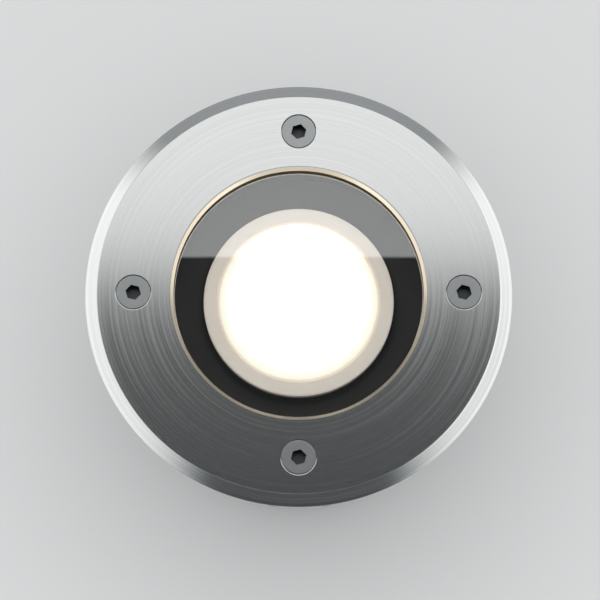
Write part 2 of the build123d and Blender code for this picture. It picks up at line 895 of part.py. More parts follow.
def make_gland_dome_nut():
    """Dome nut: hexagon above, rounded nose below, open at the mouth for the cable."""
    hex_low = gland_flange_z - loose_gap - nut_hex_length
    hex_part = prism(hexagon(nut_hex), hex_low, gland_flange_z - loose_gap)
    nose_top = 0.5 * nut_hex - nose_step
    nose = turned(
        [
            (0, nut_end_z),
            (nut_mouth_radius + nut_mouth_wall, nut_end_z),
            (nose_top - nose_fall, nut_end_z + 0.55 * (hex_low - nut_end_z)),
            (nose_top, hex_low),
            (0, hex_low),
        ]
    )
    nut = hex_part + nose
    inside = gland_sleeve_radius + turning_gap
    sleeve_low = gland_flange_z - gland_sleeve_length - loose_gap
    cavity = turned(
        [
            (0, nut_end_z),
            (insert_bore_radius + nut_cable_gap, nut_end_z),
            (insert_bore_radius + nut_cable_gap, sleeve_low - nut_cone),
            (inside, sleeve_low),
            (inside, gland_flange_z),
            (0, gland_flange_z),
        ]
    )
    return nut - cavity


# ---- Installation sleeve ----


def sleeve_outer_radius(height):
    """Outer radius of the tapered sleeve wall at a height."""
    top = flange_z - sleeve_rim_height
    fall = sleeve_taper * (top - height) / top
    return sleeve_ledge_radius + sleeve_wall - fall


def make_installation_sleeve():
    """Moulded pot: stepped rim, tapered ribbed wall, cable slots and an open, drained base."""
    taper_top = flange_z - sleeve_rim_height
    base_radius = sleeve_outer_radius(0)
    body = turned(
        [
            (0, 0),
            (base_radius, 0),
            (sleeve_outer_radius(taper_top), taper_top),
            (sleeve_outer_radius(taper_top), flange_z - sleeve_wall),
            (sleeve_rim_radius, flange_z - sleeve_wall),
            (sleeve_rim_radius, ground_z),
            (sleeve_mouth_radius, ground_z),
            (sleeve_mouth_radius, flange_z),
            (sleeve_ledge_radius, flange_z),
            (sleeve_ledge_radius, taper_top),
            (sleeve_outer_radius(sleeve_floor) - sleeve_wall, sleeve_floor),
            (0, sleeve_floor),
        ]
    )
    for i in range(anchor_ring_count):
        low = taper_top * (i + 1) / (anchor_ring_count + 1)
        high = low + anchor_ring_height
        body += turned(
            [
                (sleeve_outer_radius(low) - 0.5 * sleeve_wall, low),
                (sleeve_outer_radius(low) + sleeve_rib_reach, low),
                (sleeve_outer_radius(high) + sleeve_rib_reach, high),
                (sleeve_outer_radius(high) - 0.5 * sleeve_wall, high),
            ]
        )
    rib_outline = [
        (sleeve_outer_radius(0) - 0.5 * sleeve_wall, 0),
        (sleeve_outer_radius(0) + sleeve_rib_reach, 0),
        (sleeve_outer_radius(taper_top) + sleeve_rib_reach, taper_top),
        (sleeve_outer_radius(taper_top) + sleeve_rib_reach, flange_z - sleeve_wall),
        (sleeve_outer_radius(taper_top) - 0.5 * sleeve_wall, flange_z - sleeve_wall),
        (sleeve_outer_radius(taper_top) - 0.5 * sleeve_wall, taper_top),
    ]
    side = make_face(Plane.XZ * Polyline(*rib_outline, close=True))
    rib = extrude(side, sleeve_rib_width / 2, both=True)
    for angle, _, _ in polar(1, sleeve_rib_count, 180.0 / sleeve_rib_count):
        body += Rot(0, 0, angle) * rib
    slot_low = sleeve_floor + cable_slot_sill
    slot_middle = slot_low + cable_slot_height / 2
    slot = Plane.YZ * Pos(0, slot_middle) * Rot(0, 0, 90) * SlotOverall(cable_slot_height, cable_slot_width)
    body -= extrude(slot, 2 * base_radius, both=True)
    body -= disc(sleeve_base_hole_radius, 0, sleeve_floor)
    drain_circle = (sleeve_base_hole_radius + base_radius - sleeve_wall) / 2
    for _, x, y in polar(drain_circle, drain_hole_count):
        body -= disc(drain_hole_radius, 0, sleeve_floor, (x, y))
    return body


def gathered(made):
    """One shape for a node: a single solid, or a group of separate solids."""
    return Compound(children=made) if isinstance(made, list) else made


NODES = {
    "bezel_ring": make_bezel_ring,
    "screw_retainers": make_screw_retainers,
    "front_glass": make_front_glass,
    "glass_gasket": make_glass_gasket,
    "housing": make_housing,
    "lamp_support_plate": make_lamp_support_plate,
    "lamp_shell": make_lamp_shell,
    "lamp_diffuser": make_lamp_diffuser,
    "led_board": make_led_board,
    "driver_board": make_driver_board,
    "lamp_base": make_lamp_base,
    "lamp_pins": make_lamp_pins,
    "lampholder": make_lampholder,
    "holder_contacts": make_holder_contacts,
    "holder_bracket": make_holder_bracket,
    "holder_screws": make_holder_screws,
    "bracket_screws": make_bracket_screws,
    "terminal_block": make_terminal_block,
    "terminal_barrels": make_terminal_barrels,
    "terminal_screws": make_terminal_screws,
    "terminal_fixing_screw": make_terminal_fixing_screw,
    "earth_washer": make_earth_washer,
    "earth_screw": make_earth_screw,
    "gland_body": make_gland_body,
    "gland_seal_ring": make_gland_seal_ring,
    "gland_locknut": make_gland_locknut,
    "gland_seal_insert": make_gland_seal_insert,
    "gland_dome_nut": make_gland_dome_nut,
    "installation_sleeve": make_installation_sleeve,
}
SCREW_PLACES = ("right", "back", "left", "front")

os.makedirs("parts", exist_ok=True)
for name, make in NODES.items():
    export_step(gathered(make()), f"parts/{name}.step")
for place, (angle, x, y) in zip(SCREW_PLACES, polar(screw_circle, screw_count)):
    export_step(make_cover_screw(angle, x, y), f"parts/cover_screw_{place}.step")
print("ring", 2 * ring_radius, "aperture", 2 * aperture_radius, "screw circle", 2 * screw_circle)
print("height", ring_top_z, "ground line", ground_z)
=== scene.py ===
"""Looks of the in-ground well light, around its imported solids.

Lengths are in metres, in the part's own frame: +Z up out of the ground, and the origin at the
centre of the installation sleeve's base. Each operator makes one piece or one group of like
pieces, and the last one makes the stage.
"""
import json
from math import cos, pi, radians, sin, tan

import bmesh
import bpy
from bpy.props import FloatProperty, FloatVectorProperty, IntProperty, PointerProperty
from mathutils import Matrix, Vector


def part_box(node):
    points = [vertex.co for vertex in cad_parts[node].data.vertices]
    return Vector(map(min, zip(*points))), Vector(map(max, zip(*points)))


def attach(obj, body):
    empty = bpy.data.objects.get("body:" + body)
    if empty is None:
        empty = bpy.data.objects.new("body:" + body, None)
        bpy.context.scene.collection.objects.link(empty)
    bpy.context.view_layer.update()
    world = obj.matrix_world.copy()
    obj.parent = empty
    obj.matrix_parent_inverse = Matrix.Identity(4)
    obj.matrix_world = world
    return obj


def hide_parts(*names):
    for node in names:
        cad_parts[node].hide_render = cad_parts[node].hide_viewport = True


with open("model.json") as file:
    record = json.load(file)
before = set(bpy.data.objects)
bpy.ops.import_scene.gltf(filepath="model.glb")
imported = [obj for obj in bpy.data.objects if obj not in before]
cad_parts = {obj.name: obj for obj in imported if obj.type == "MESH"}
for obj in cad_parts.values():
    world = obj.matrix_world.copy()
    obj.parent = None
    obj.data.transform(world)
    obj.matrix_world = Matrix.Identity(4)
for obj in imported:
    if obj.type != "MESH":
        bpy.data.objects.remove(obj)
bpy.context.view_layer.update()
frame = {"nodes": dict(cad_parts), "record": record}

bl_info = {
    "name": "In-ground well light",
    "version": (1, 0, 0),
    "blender": (4, 5, 0),
    "location": "View3D > Sidebar > Well light",
    "description": "Makes an in-ground well light's detailed pieces, finishes and studio",
    "category": "Object",
}

MM = 0.001
RING_LOW, RING_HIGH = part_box("bezel_ring")
SEAL_LOW, SEAL_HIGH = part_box("glass_gasket")
GLASS_LOW, GLASS_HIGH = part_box("front_glass")
SCREW_LOW, SCREW_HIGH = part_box("cover_screw_right")
DIFFUSER_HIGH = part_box("lamp_diffuser")[1]
GROUND_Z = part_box("installation_sleeve")[1].z
SCREW_PLACES = ("right", "back", "left", "front")
SCREW_SIDES = 96
GLASS_SIDES = 192
THREAD_STEPS = 32  # round one turn of the thread
WELD = 1e-6  # points this close are one point


# ---- Sizes and colours ----


def length(name, description, default):
    """A size in metres."""
    return FloatProperty(name=name, description=description, default=default, min=0.0,
                         unit="LENGTH", precision=5)


def colour(name, description, default):
    """A linear colour."""
    return FloatVectorProperty(name=name, description=description, default=default, size=3,
                               min=0.0, max=1.0, subtype="COLOR")


class WellLightRing(bpy.types.PropertyGroup):
    """Cover ring."""

    outer_radius: length("Ring radius", "Outer radius of the cover ring", RING_HIGH.x)
    chamfer_width: length("Chamfer width", "Width of the outer chamfer, seen from above", 3.14 * MM)
    chamfer_depth: length("Chamfer depth", "Height of the outer chamfer", 1.89 * MM)
    relief_radius: length("Relief radius", "Where the underside steps up inside the rim", 52.5 * MM)
    relief: length("Relief", "How far the underside steps up", 0.3 * MM)
    clear: length("Clear", "Hair's breadth between the underside and the housing's flange",
                  0.02 * MM)
    collar_radius: length("Collar radius", "Outer radius of the collar on the seal", 36.2 * MM)
    aperture_radius: length("Aperture radius", "Radius of the opening", 32.2 * MM)
    aperture_bevel: length("Aperture chamfer", "Chamfer round the opening", 0.75 * MM)
    groove: length("Groove", "Width of the fine groove inside the outer chamfer", 0.1 * MM)
    lean: FloatProperty(name="Lean",
                        description="How far the light sees the ring out of square, about X",
                        default=radians(0.25), subtype="ANGLE")
    edge: length("Broken edge", "How far the turned edges are rounded", 0.1 * MM)
    sink_gap: length("Countersink gap", "Radial gap round a screw head", 0.15 * MM)
    sink_flare: length("Countersink flare", "Width of the shallow flare round a countersink",
                       0.15 * MM)
    sides: IntProperty(name="Sides", description="Segments round the ring", default=256, min=32)
    steel: colour("Steel", "Brushed stainless steel", (0.615, 0.62, 0.615))
    # Painted light: the colour of the lamp's warm glow, painted onto the aperture's lip.
    warm: colour("Warm lip", "Tint of the aperture's chamfer in the lamp's light",
                 (0.86, 0.74, 0.56))


class WellLightScrew(bpy.types.PropertyGroup):
    """Countersunk hex-socket cover screw."""

    circle: length("Screw circle radius", "Distance of the screws from the axis",
                   (SCREW_LOW.x + SCREW_HIGH.x) / 2)
    head_radius: length("Head radius", "Radius of the screw head",
                        (SCREW_HIGH.x - SCREW_LOW.x) / 2)
    head_edge: length("Head edge", "Straight edge above the cone", 0.3 * MM)
    shank_radius: length("Shank radius", "Outer radius of the thread", 2.5 * MM)
    key: length("Key size", "Hexagon socket across flats", 3.55 * MM)
    socket_depth: length("Socket depth", "Depth of the hexagon socket", 2.4 * MM)
    pitch: length("Thread pitch", "Height of one turn of the thread", 0.8 * MM)
    thread_depth: length("Thread depth", "Depth of the thread", 0.4 * MM)
    key_turn: FloatProperty(name="Key turn",
                            description="Angle from the radial line to a corner of the socket",
                            default=radians(46.0), subtype="ANGLE")
    steel: colour("Screw steel", "Satin stainless steel of the screws", (0.44, 0.455, 0.455))


class WellLightGlass(bpy.types.PropertyGroup):
    """Front glass, its seal and the lit lamp behind it."""

    ground_edge: length("Ground edge", "Chamfer round the glass", 0.6 * MM)
    lip_radius: length("Lip radius", "Inner radius of the seal's upper lip", 32.12 * MM)
    web: length("Web", "Thickness of the seal round the glass edge", 1.6 * MM)
    foot: length("Foot", "How far the lower lip runs under the glass", 2.5 * MM)
    seal_edge: length("Seal edge", "How far the seal's edges are rounded", 0.2 * MM)
    silicone: colour("Silicone", "Milky silicone of the seal", (0.80, 0.735, 0.62))
    glass: colour("Glass", "Tint of the glass", (0.985, 1.0, 0.995))
    lamp_white: colour("Lamp white", "Moulded plastic of the lamp", (0.90, 0.83, 0.755))
    glow: colour("Lamp light", "Light of the lit diffuser", (1.0, 0.985, 0.94))
    glow_strength: FloatProperty(name="Light strength", description="Strength of the lit diffuser",
                                 default=1.3, min=0.0)


class WellLightStudio(bpy.types.PropertyGroup):
    """Camera, floor and light."""

    camera_distance: length("Camera distance", "From the camera to the point that it looks at",
                            584.5 * MM)
    camera_tilt: FloatProperty(name="Camera tilt",
                               description="Angle from the light's axis towards -Y",
                               default=radians(10.12), subtype="ANGLE")
    camera_focal: FloatProperty(name="Focal length",
                                description="Focal length in millimetres on a 36 mm sensor",
                                default=136.6, unit="CAMERA")
    aim_x: FloatProperty(name="Aim X", description="X of the point that the camera looks at",
                         default=0.35 * MM, unit="LENGTH")
    aim_y: FloatProperty(name="Aim Y", description="Y of the point that the camera looks at",
                         default=-2.03 * MM, unit="LENGTH")
    floor: colour("Floor", "Pale floor", (0.63, 0.632, 0.634))
    floor_size: length("Floor size", "Side of the floor", 30.0)
    fill_height: length("Fill height", "Height of the soft lamp over the object", 1.6)
    fill_radius: length("Fill radius", "Radius of the soft lamp over the object", 0.7)
    fill_power: FloatProperty(name="Fill power", description="Power of the soft lamp in watts",
                              default=11.0, min=0.0)


GROUPS = {
    "well_light_ring": WellLightRing,
    "well_light_screw": WellLightScrew,
    "well_light_glass": WellLightGlass,
    "well_light_studio": WellLightStudio,
}


# ---- Shader nodes ----


class Wire:
    """A shader socket on which Python's arithmetic adds the Math nodes."""

    def __init__(self, nodes, socket):
        self.nodes = nodes
        self.socket = socket

    def maths(self, operation, *terms):
        """A Math node on this socket and other terms."""
        return self.nodes.node("Math", {"operation": operation}, dict(enumerate(terms)))

    def __add__(self, other):
        return self.maths("ADD", self, other)

    def __radd__(self, other):
        return self.maths("ADD", other, self)

    def __sub__(self, other):
        return self.maths("SUBTRACT", self, other)

    def __rsub__(self, other):
        return self.maths("SUBTRACT", other, self)

    def __mul__(self, other):
        return self.maths("MULTIPLY", self, other)

    def __rmul__(self, other):
        return self.maths("MULTIPLY", other, self)

    def __truediv__(self, other):
        return self.maths("DIVIDE", self, other)

    def __rtruediv__(self, other):
        return self.maths("DIVIDE", other, self)

    def __pow__(self, other):
        return self.maths("POWER", self, other)

    def __abs__(self):
        return self.maths("ABSOLUTE", self)

    def least(self, other):
        """The smaller of two values."""
        return self.maths("MINIMUM", self, other)

    def greatest(self, other):
        """The larger of two values."""
        return self.maths("MAXIMUM", self, other)

    def ease(self, low, high):
        """0 below low and 1 above high, with a smooth step between them. Low may be above high."""
        return self.nodes.node("MapRange", {"interpolation_type": "SMOOTHSTEP"},
                               {0: self, 1: low, 2: high})

    def within(self, low, high, blur):
        """1 between low and high and 0 outside, with edges blur wide."""
        half = blur / 2
        return self.ease(low - half, low + half) * self.ease(high + half, high - half)


class Nodes:
    """The nodes of one material or world."""

    def __init__(self, tree):
        tree.nodes.clear()
        self.tree = tree

    def node(self, kind, settings=None, inputs=None, output=0):
        """Adds a node: first its settings, then the values or links of its sockets.

        Gives one of its outputs.
        """
        made = self.tree.nodes.new("ShaderNode" + kind)
        for key, value in (settings or {}).items():
            setattr(made, key, value)
        for key, value in (inputs or {}).items():
            if isinstance(value, Wire):
                self.tree.links.new(value.socket, made.inputs[key])
            else:
                made.inputs[key].default_value = value
        return Wire(self, made.outputs[output]) if made.outputs else None

    def place(self):
        """X, Y and Z of the point, in the part's frame."""
        where = self.node("TexCoord", output="Object")
        return [self.node("SeparateXYZ", None, {0: where}, axis) for axis in "XYZ"]

    def point(self, x, y, z):
        """A vector from three values."""
        return self.node("CombineXYZ", None, {0: x, 1: y, 2: z})

    def noise(self, scale, detail=2.0, where=None):
        """Noise from 0 to 1 with about scale features in a metre."""
        where = where or self.node("TexCoord", output="Object")
        return self.node("TexNoise", None, {"Vector": where, "Scale": scale, "Detail": detail})

    def mix(self, first, second, share):
        """A colour between two others."""
        first, second = [opaque(c) if isinstance(c, (tuple, list)) else c for c in (first, second)]
        return self.node("Mix", {"data_type": "RGBA"}, {0: share, 6: first, 7: second}, 2)

    def bump(self, height, depth, normal=None):
        """A normal from a height of 0 to 1 that stands for depth metres."""
        inputs = {"Strength": 1.0, "Distance": depth, "Height": height}
        if normal is not None:
            inputs["Normal"] = normal
        return self.node("Bump", None, inputs)

    def soft_edges(self, radius):
        """The normal with its edges rounded."""
        return self.node("Bevel", {"samples": 4}, {"Radius": radius})

    def surface(self, **inputs):
        """A Principled surface. Underscores stand for the blanks in its sockets' names."""
        named = {key.replace("_", " "): value for key, value in inputs.items()}
        return self.node("BsdfPrincipled", None, named)

    def finish(self, shader, kind="OutputMaterial"):
        """Sends the shader to the output."""
        self.node(kind, None, {"Surface": shader})


def opaque(rgb):
    """A colour with full alpha."""
    return (rgb[0], rgb[1], rgb[2], 1.0)


def shaded(rgb, factor):
    """A colour made lighter or darker."""
    return opaque([min(1.0, c * factor) for c in rgb])


def distance(first, second):
    """How far apart two points are, from their distances along two axes."""
    return (first * first + second * second) ** 0.5


def new_material(name):
    """A material and its empty node tree."""
    material = bpy.data.materials.new(name)
    material.use_nodes = True
    return material, Nodes(material.node_tree)


# ---- Finishes ----


def stretched(nodes, scales):
    """Object coordinates with a scale for each axis."""
    where = nodes.node("TexCoord", output="Object")
    return nodes.node("Mapping", None, {"Vector": where, "Scale": scales})


def polar_grain(nodes, across, around, detail):
    """Noise in rings about the light's axis: fine across the rings and long round them."""
    x, y, z = nodes.place()
    radius = distance(x, y)
    off_lattice = 0.4  # where a coordinate is a whole number, the noise has little contrast
    where = nodes.point(radius * across, x / radius * around + off_lattice,
                        y / radius * around + z * across + off_lattice)
    return nodes.noise(1.0, detail, where)


def brushed_stainless(name, rgb, ring):
    """Turned stainless steel with fine rings, a painted warm glow of the lamp's light on the
    aperture's lip, and a painted shade line just outside the lip on the far side.
    """
    material, nodes = new_material(name)
    x, y, _ = nodes.place()
    radius = distance(x, y)
    rings = polar_grain(nodes, across=1300, around=0.16, detail=2.0)
    lines = polar_grain(nodes, across=2300, around=0.45, detail=1.0)
    least_depth, more_depth = 0.7, 3.2  # the brushing gets deeper towards -Y
    depth = least_depth + more_depth * y.ease(12 * MM, -26 * MM)
    grain = (rings - 0.5 + lines - 0.5) * depth
    steel = nodes.mix(shaded(rgb, 0.91), shaded(rgb, 1.08), grain + 0.5)

    # Painted light: the lamp's warm glow on the aperture's lip is painted into the steel's colour
    # as a bronze tint.
    lip_radius = ring.aperture_radius + ring.aperture_bevel
    lip_blur = 0.05 * MM
    lip = radius.ease(lip_radius + lip_blur, lip_radius - lip_blur)
    painted_lamp_light = nodes.mix(shaded(ring.warm, 0.94), opaque(ring.warm), rings)

    # Painted shade: a fine dark line just outside the lip, on the +Y side only.
    far_side = (y / radius).ease(0.1, 0.6)
    line_start, line_end, line_blur = lip_radius + 0.14 * MM, lip_radius + 0.34 * MM, 0.08 * MM
    painted_shade_line = radius.within(line_start, line_end, line_blur) * far_side
    steel = nodes.mix(steel, shaded(rgb, 0.45), painted_shade_line)

    ring_height = 2.0e-6
    leaning = nodes.bump(y * -tan(ring.lean), 1.0)
    nodes.finish(nodes.surface(
        Base_Color=nodes.mix(steel, painted_lamp_light, lip),
        Metallic=0.955 + grain * 0.05,
        Roughness=0.118 + grain * 0.03 + lip * 0.06,
        Normal=nodes.bump(rings, ring_height, leaning),
    ))
    return material


def screw_stainless(name, rgb, screw):
    """Cold-headed stainless steel with a dull bloom, and painted shade that darkens the hex socket.
    """
    material, nodes = new_material(name)
    x, y, z = nodes.place()
    # The four screws lie on the X and Y axes, so one mask folded onto +X serves them all.
    out, aside = abs(x).greatest(abs(y)) - screw.circle, abs(x).least(abs(y))
    round_socket = distance(out, aside).ease(0.68 * screw.key, 0.64 * screw.key)
    socket = round_socket * z.ease(SCREW_HIGH.z - 0.1 * MM, SCREW_HIGH.z - 0.4 * MM)
    # Painted shade: the socket's recess is darkened in the colour.
    painted_socket_shade = (0.105, 0.108, 0.112)
    mottle_height, scratch_height = 4.0e-6, 2.5e-6
    mottle = nodes.noise(900, 3.0)
    scratch = nodes.noise(1.0, 3.0, stretched(nodes, (4000, 900, 4000)))
    bright = nodes.mix(shaded(rgb, 0.9), shaded(rgb, 1.08), mottle)
    nodes.finish(nodes.surface(
        Base_Color=nodes.mix(bright, painted_socket_shade, socket),
        Metallic=1.0,
        Roughness=0.32 + (scratch - 0.5) * 0.12 + socket * 0.15,
        Normal=nodes.bump(scratch, scratch_height, nodes.bump(mottle, mottle_height)),
    ))
    return material


def clear_glass(name, rgb):
    """Toughened glass with an anti-slip lacquer, which mirrors more than bare glass."""
    material, nodes = new_material(name)
    haze = nodes.noise(90, 3.0)
    glass = nodes.surface(
        Base_Color=nodes.mix(shaded(rgb, 0.99), opaque(rgb), haze),
        Roughness=haze.ease(0.45, 0.9) * 0.012,
        IOR=1.5,
        Transmission_Weight=1.0,
        Coat_Weight=1.0,
        Coat_IOR=1.72,
        Coat_Roughness=0.0,
    )
    through = nodes.node("BsdfTransparent", None, {"Color": shaded(rgb, 0.93)})
    lamp_ray = nodes.node("LightPath", output="Is Shadow Ray")
    nodes.finish(nodes.node("MixShader", None, {0: lamp_ray, 1: glass, 2: through}))
    return material


def clear_silicone(name, rgb):
    """Milky silicone that light soaks into."""
    material, nodes = new_material(name)
    cloud = nodes.noise(260, 3.0)
    nodes.finish(nodes.surface(
        Base_Color=nodes.mix(shaded(rgb, 0.94), shaded(rgb, 1.05), cloud),
        Roughness=0.34 + (cloud - 0.5) * 0.12,
        Subsurface_Weight=0.35,
        Subsurface_Radius=(1.0, 0.8, 0.6),
        Subsurface_Scale=0.0012,
        Normal=nodes.bump(cloud, 1.5e-5),
    ))
    return material


def lamp_glow(name, rgb, strength):
    """Lit frosted diffuser: white, warmer and dimmer outwards, with a thin dark edge."""
    material, nodes = new_material(name)
    x, y, _ = nodes.place()
    radius = distance(x, y)
    edge = DIFFUSER_HIGH.x
    frost = nodes.noise(1500, 2.0)
    warm = (rgb[0] * 0.50, rgb[1] * 0.45, rgb[2] * 0.35)
    dark = (0.26, 0.23, 0.20)
    light = nodes.mix(shaded(rgb, 0.99), opaque(rgb), frost)
    light = nodes.mix(light, warm, radius.ease(edge * 0.72, edge))
    light = nodes.mix(light, dark, radius.ease(edge - 0.4 * MM, edge - 0.2 * MM))
    nodes.finish(nodes.surface(
        Base_Color=nodes.mix((0.86, 0.84, 0.78), (0.92, 0.90, 0.85), frost),
        Roughness=0.5 + (frost - 0.5) * 0.2,
        Emission_Color=light,
        Emission_Strength=strength,
        Normal=nodes.bump(frost, 6.0e-6),
    ))
    return material


def lamp_white(name, rgb):
    """White plastic of the lamp, with a painted glow near its rim: emission that stands for the
    diffuser's light leaking into the plastic.
    """
    material, nodes = new_material(name)
    z = nodes.place()[2]
    cloud = nodes.noise(90, 4.0)
    skin = nodes.noise(1800, 3.0)
    # Painted light: a faint warm glow near the front face, as emission.
    painted_rim_glow = z.ease(DIFFUSER_HIGH.z - 4 * MM, DIFFUSER_HIGH.z)
    light = nodes.mix((0.0, 0.0, 0.0), (0.175, 0.14, 0.118), painted_rim_glow)
    nodes.finish(nodes.surface(
        Base_Color=nodes.mix(shaded(rgb, 0.97), shaded(rgb, 1.03), cloud),
        Roughness=0.4 + (skin - 0.5) * 0.14,
        Emission_Color=light,
        Emission_Strength=1.0,
        Normal=nodes.bump(skin, 6.0e-6, nodes.soft_edges(0.15 * MM)),
    ))
    return material


def moulded(name, rgb, roughness, spread, grain, depth, mottle, edge=0.25 * MM, metallic=0.0):
    """A moulded or plated surface: mottled colour, a fine grain and softened edges."""
    material, nodes = new_material(name)
    rough_spread = 0.14
    cloud = nodes.noise(mottle, 4.0)
    skin = nodes.noise(grain, 3.0)
    dark, pale = shaded(rgb, 1 - spread), shaded(rgb, 1 + spread)
    nodes.finish(nodes.surface(
        Base_Color=nodes.mix(dark, pale, cloud.ease(0.3, 0.7)),
        Roughness=roughness + (skin - 0.5) * rough_spread + (cloud - 0.5) * rough_spread,
        Metallic=metallic,
        Normal=nodes.bump(skin, depth, nodes.soft_edges(edge)),
    ))
    return material


def black_casting(name, rgb):
    """Die-cast aluminium under a black powder coat with an orange-peel skin and a little dust."""
    material, nodes = new_material(name)
    cloud = nodes.noise(45, 4.0)
    peel = nodes.noise(1100, 2.0)
    speck = nodes.noise(5200, 1.0)
    dust = cloud.ease(0.45, 0.8) * 0.5
    base = nodes.mix(shaded(rgb, 0.8), shaded(rgb, 1.3), cloud)
    nodes.finish(nodes.surface(
        Base_Color=nodes.mix(base, (0.075, 0.073, 0.07), dust * speck),
        Roughness=0.46 + (peel - 0.5) * 0.2 + dust * 0.12,
        Normal=nodes.bump(speck, 5.0e-6, nodes.bump(peel, 3.5e-5, nodes.soft_edges(0.4 * MM))),
    ))
    return material


def black_plate(name, rgb):
    """Black coat of the plate round the lamp, with a painted shadow that darkens it under the
    lamp's rim.
    """
    material, nodes = new_material(name)
    x, y, _ = nodes.place()
    # Painted shadow: the coat darkens towards the lamp, where its rim stands over the plate.
    under_rim, clear_of_rim = 25.0 * MM, 27.2 * MM
    beyond_painted_shadow = distance(x, y).ease(under_rim, clear_of_rim)
    cloud = nodes.noise(80, 4.0)
    skin = nodes.noise(2400, 3.0)
    coat = nodes.mix(shaded(rgb, 0.8), shaded(rgb, 1.2), cloud)
    nodes.finish(nodes.surface(
        Base_Color=nodes.mix(shaded(rgb, 0.1), coat, beyond_painted_shadow),
        Roughness=0.55 + (skin - 0.5) * 0.14,
        Normal=nodes.bump(skin, 1.0e-5, nodes.soft_edges(0.25 * MM)),
    ))
    return material


def zinc_steel(name, rgb):
    """Zinc-plated steel with a faint blue and yellow bloom."""
    material, nodes = new_material(name)
    bloom = nodes.noise(320, 3.0)
    grain = nodes.noise(2600, 2.0)
    blue = (rgb[0] * 0.93, rgb[1] * 0.98, rgb[2] * 1.08)
    yellow = (rgb[0] * 1.04, rgb[1], rgb[2] * 0.88)
    nodes.finish(nodes.surface(
        Base_Color=nodes.mix(blue, yellow, bloom),
        Metallic=1.0,
        Roughness=0.3 + (grain - 0.5) * 0.16 + (bloom - 0.5) * 0.1,
        Normal=nodes.bump(grain, 4.0e-6, nodes.soft_edges(0.12 * MM)),
    ))
    return material


def circuit_board(name, rgb, track):
    """Lacquered circuit board with printed tracks."""
    material, nodes = new_material(name)
    where = nodes.node("TexCoord", output="Object")
    tracks = {"Vector": where, "Scale": 300.0, "Mortar Size": 0.012}
    cell = nodes.node("TexBrick", None, tracks, "Fac")
    cloud = nodes.noise(200, 3.0)
    lacquer = nodes.mix(shaded(rgb, 0.9), shaded(rgb, 1.1), cloud)
    nodes.finish(nodes.surface(
        Base_Color=nodes.mix(lacquer, track, cell * 0.6),
        Roughness=0.34 + (cloud - 0.5) * 0.16,
        Normal=nodes.bump(cell, 3.0e-5),
    ))
    return material


def make_finishes(scene):
    """Every finish of the record, by its slot."""
    ring, screw, glass = scene.well_light_ring, scene.well_light_screw, scene.well_light_glass
    return {
        "brushed_stainless": brushed_stainless("brushed_stainless_ring", ring.steel, ring),
        "screw_stainless": screw_stainless("screw_stainless_satin", screw.steel, screw),
        "clear_glass": clear_glass("clear_front_glass", glass.glass),
        "clear_silicone": clear_silicone("milky_silicone", glass.silicone),
        "lamp_glow": lamp_glow("lit_diffuser", glass.glow, glass.glow_strength),
        "lamp_white": lamp_white("lamp_white_plastic", glass.lamp_white),
        "black_plate": black_plate("black_plate_coat", (0.037, 0.0335, 0.030)),
        "black_casting": black_casting("black_powder_coat", (0.028, 0.028, 0.03)),
        "sleeve_plastic": moulded("sleeve_moulding", (0.036, 0.037, 0.04), roughness=0.5,
                                  spread=0.22, grain=900, depth=3.0e-5, mottle=25, edge=0.3 * MM),
        "gland_plastic": moulded("gland_nylon", (0.035, 0.035, 0.038), roughness=0.4,
                                 spread=0.15, grain=1500, depth=1.2e-5, mottle=120, edge=0.3 * MM),
        "black_rubber": moulded("black_rubber", (0.022, 0.022, 0.022), roughness=0.72,
                                spread=0.2, grain=1800, depth=1.5e-5, mottle=150),
        "white_nylon": moulded("white_nylon_washer", (0.82, 0.81, 0.76), roughness=0.45,
                               spread=0.05, grain=1600, depth=8.0e-6, mottle=300),
        "ceramic": moulded("lampholder_ceramic", (0.84, 0.82, 0.77), roughness=0.55,
                           spread=0.05, grain=2600, depth=1.5e-5, mottle=240, edge=0.3 * MM),
        "terminal_plastic": moulded("terminal_moulding", (0.78, 0.77, 0.74), roughness=0.42,
                                    spread=0.05, grain=1500, depth=8.0e-6, mottle=200),
        "circuit_white": circuit_board("led_board_lacquer", (0.82, 0.82, 0.8),
                                       track=(0.62, 0.6, 0.52)),
        "circuit_green": circuit_board("driver_board_lacquer", (0.05, 0.2, 0.1),
                                       track=(0.55, 0.42, 0.18)),
        "brass_plated": moulded("nickel_plated_pin", (0.72, 0.70, 0.65), roughness=0.22,
                                spread=0.06, grain=2200, depth=2.0e-6, mottle=500,
                                edge=0.12 * MM, metallic=1.0),
        "brass": moulded("spring_brass", (0.74, 0.55, 0.26), roughness=0.28,
                         spread=0.10, grain=2200, depth=3.0e-6, mottle=400,
                         edge=0.1 * MM, metallic=1.0),
        "zinc_steel": zinc_steel("zinc_plate", (0.58, 0.59, 0.6)),
    }


# ---- Modelling helpers ----


def select_only(piece):
    """Selects one piece and makes it the active one."""
    bpy.ops.object.select_all(action="DESELECT")
    piece.select_set(True)
    bpy.context.view_layer.objects.active = piece


def add_drum(name, radius, low, high, sides, at=(0.0, 0.0), turn=0.0):
    """A cylinder between two heights, the start of a turned piece."""
    bpy.ops.object.select_all(action="DESELECT")
    bpy.ops.mesh.primitive_cylinder_add(
        vertices=sides, radius=radius, depth=high - low,
        location=(*at, (low + high) / 2), rotation=(0.0, 0.0, turn),
    )
    piece = bpy.context.object
    piece.name = piece.data.name = name
    settle(piece)
    return piece


def settle(piece):
    """Puts the piece's place, turn and scale into its mesh."""
    select_only(piece)
    bpy.ops.object.transform_apply(location=True, rotation=True, scale=True)


def pick_faces(piece, test):
    """In edit mode, selects only the faces that pass the test."""
    bpy.ops.mesh.select_mode(type="FACE")
    bpy.ops.mesh.select_all(action="DESELECT")
    shape = bmesh.from_edit_mesh(piece.data)
    for face in shape.faces:
        face.select_set(test(face))
    bmesh.update_edit_mesh(piece.data)


def cap_at(height, upward):
    """A test for the flat cap at a height that faces up or down."""
    way = 1 if upward else -1
    flat = 0.99

    def is_cap(face):
        level = abs(face.calc_center_median().z - height) < WELD
        return level and face.normal.z * way > flat

    return is_cap


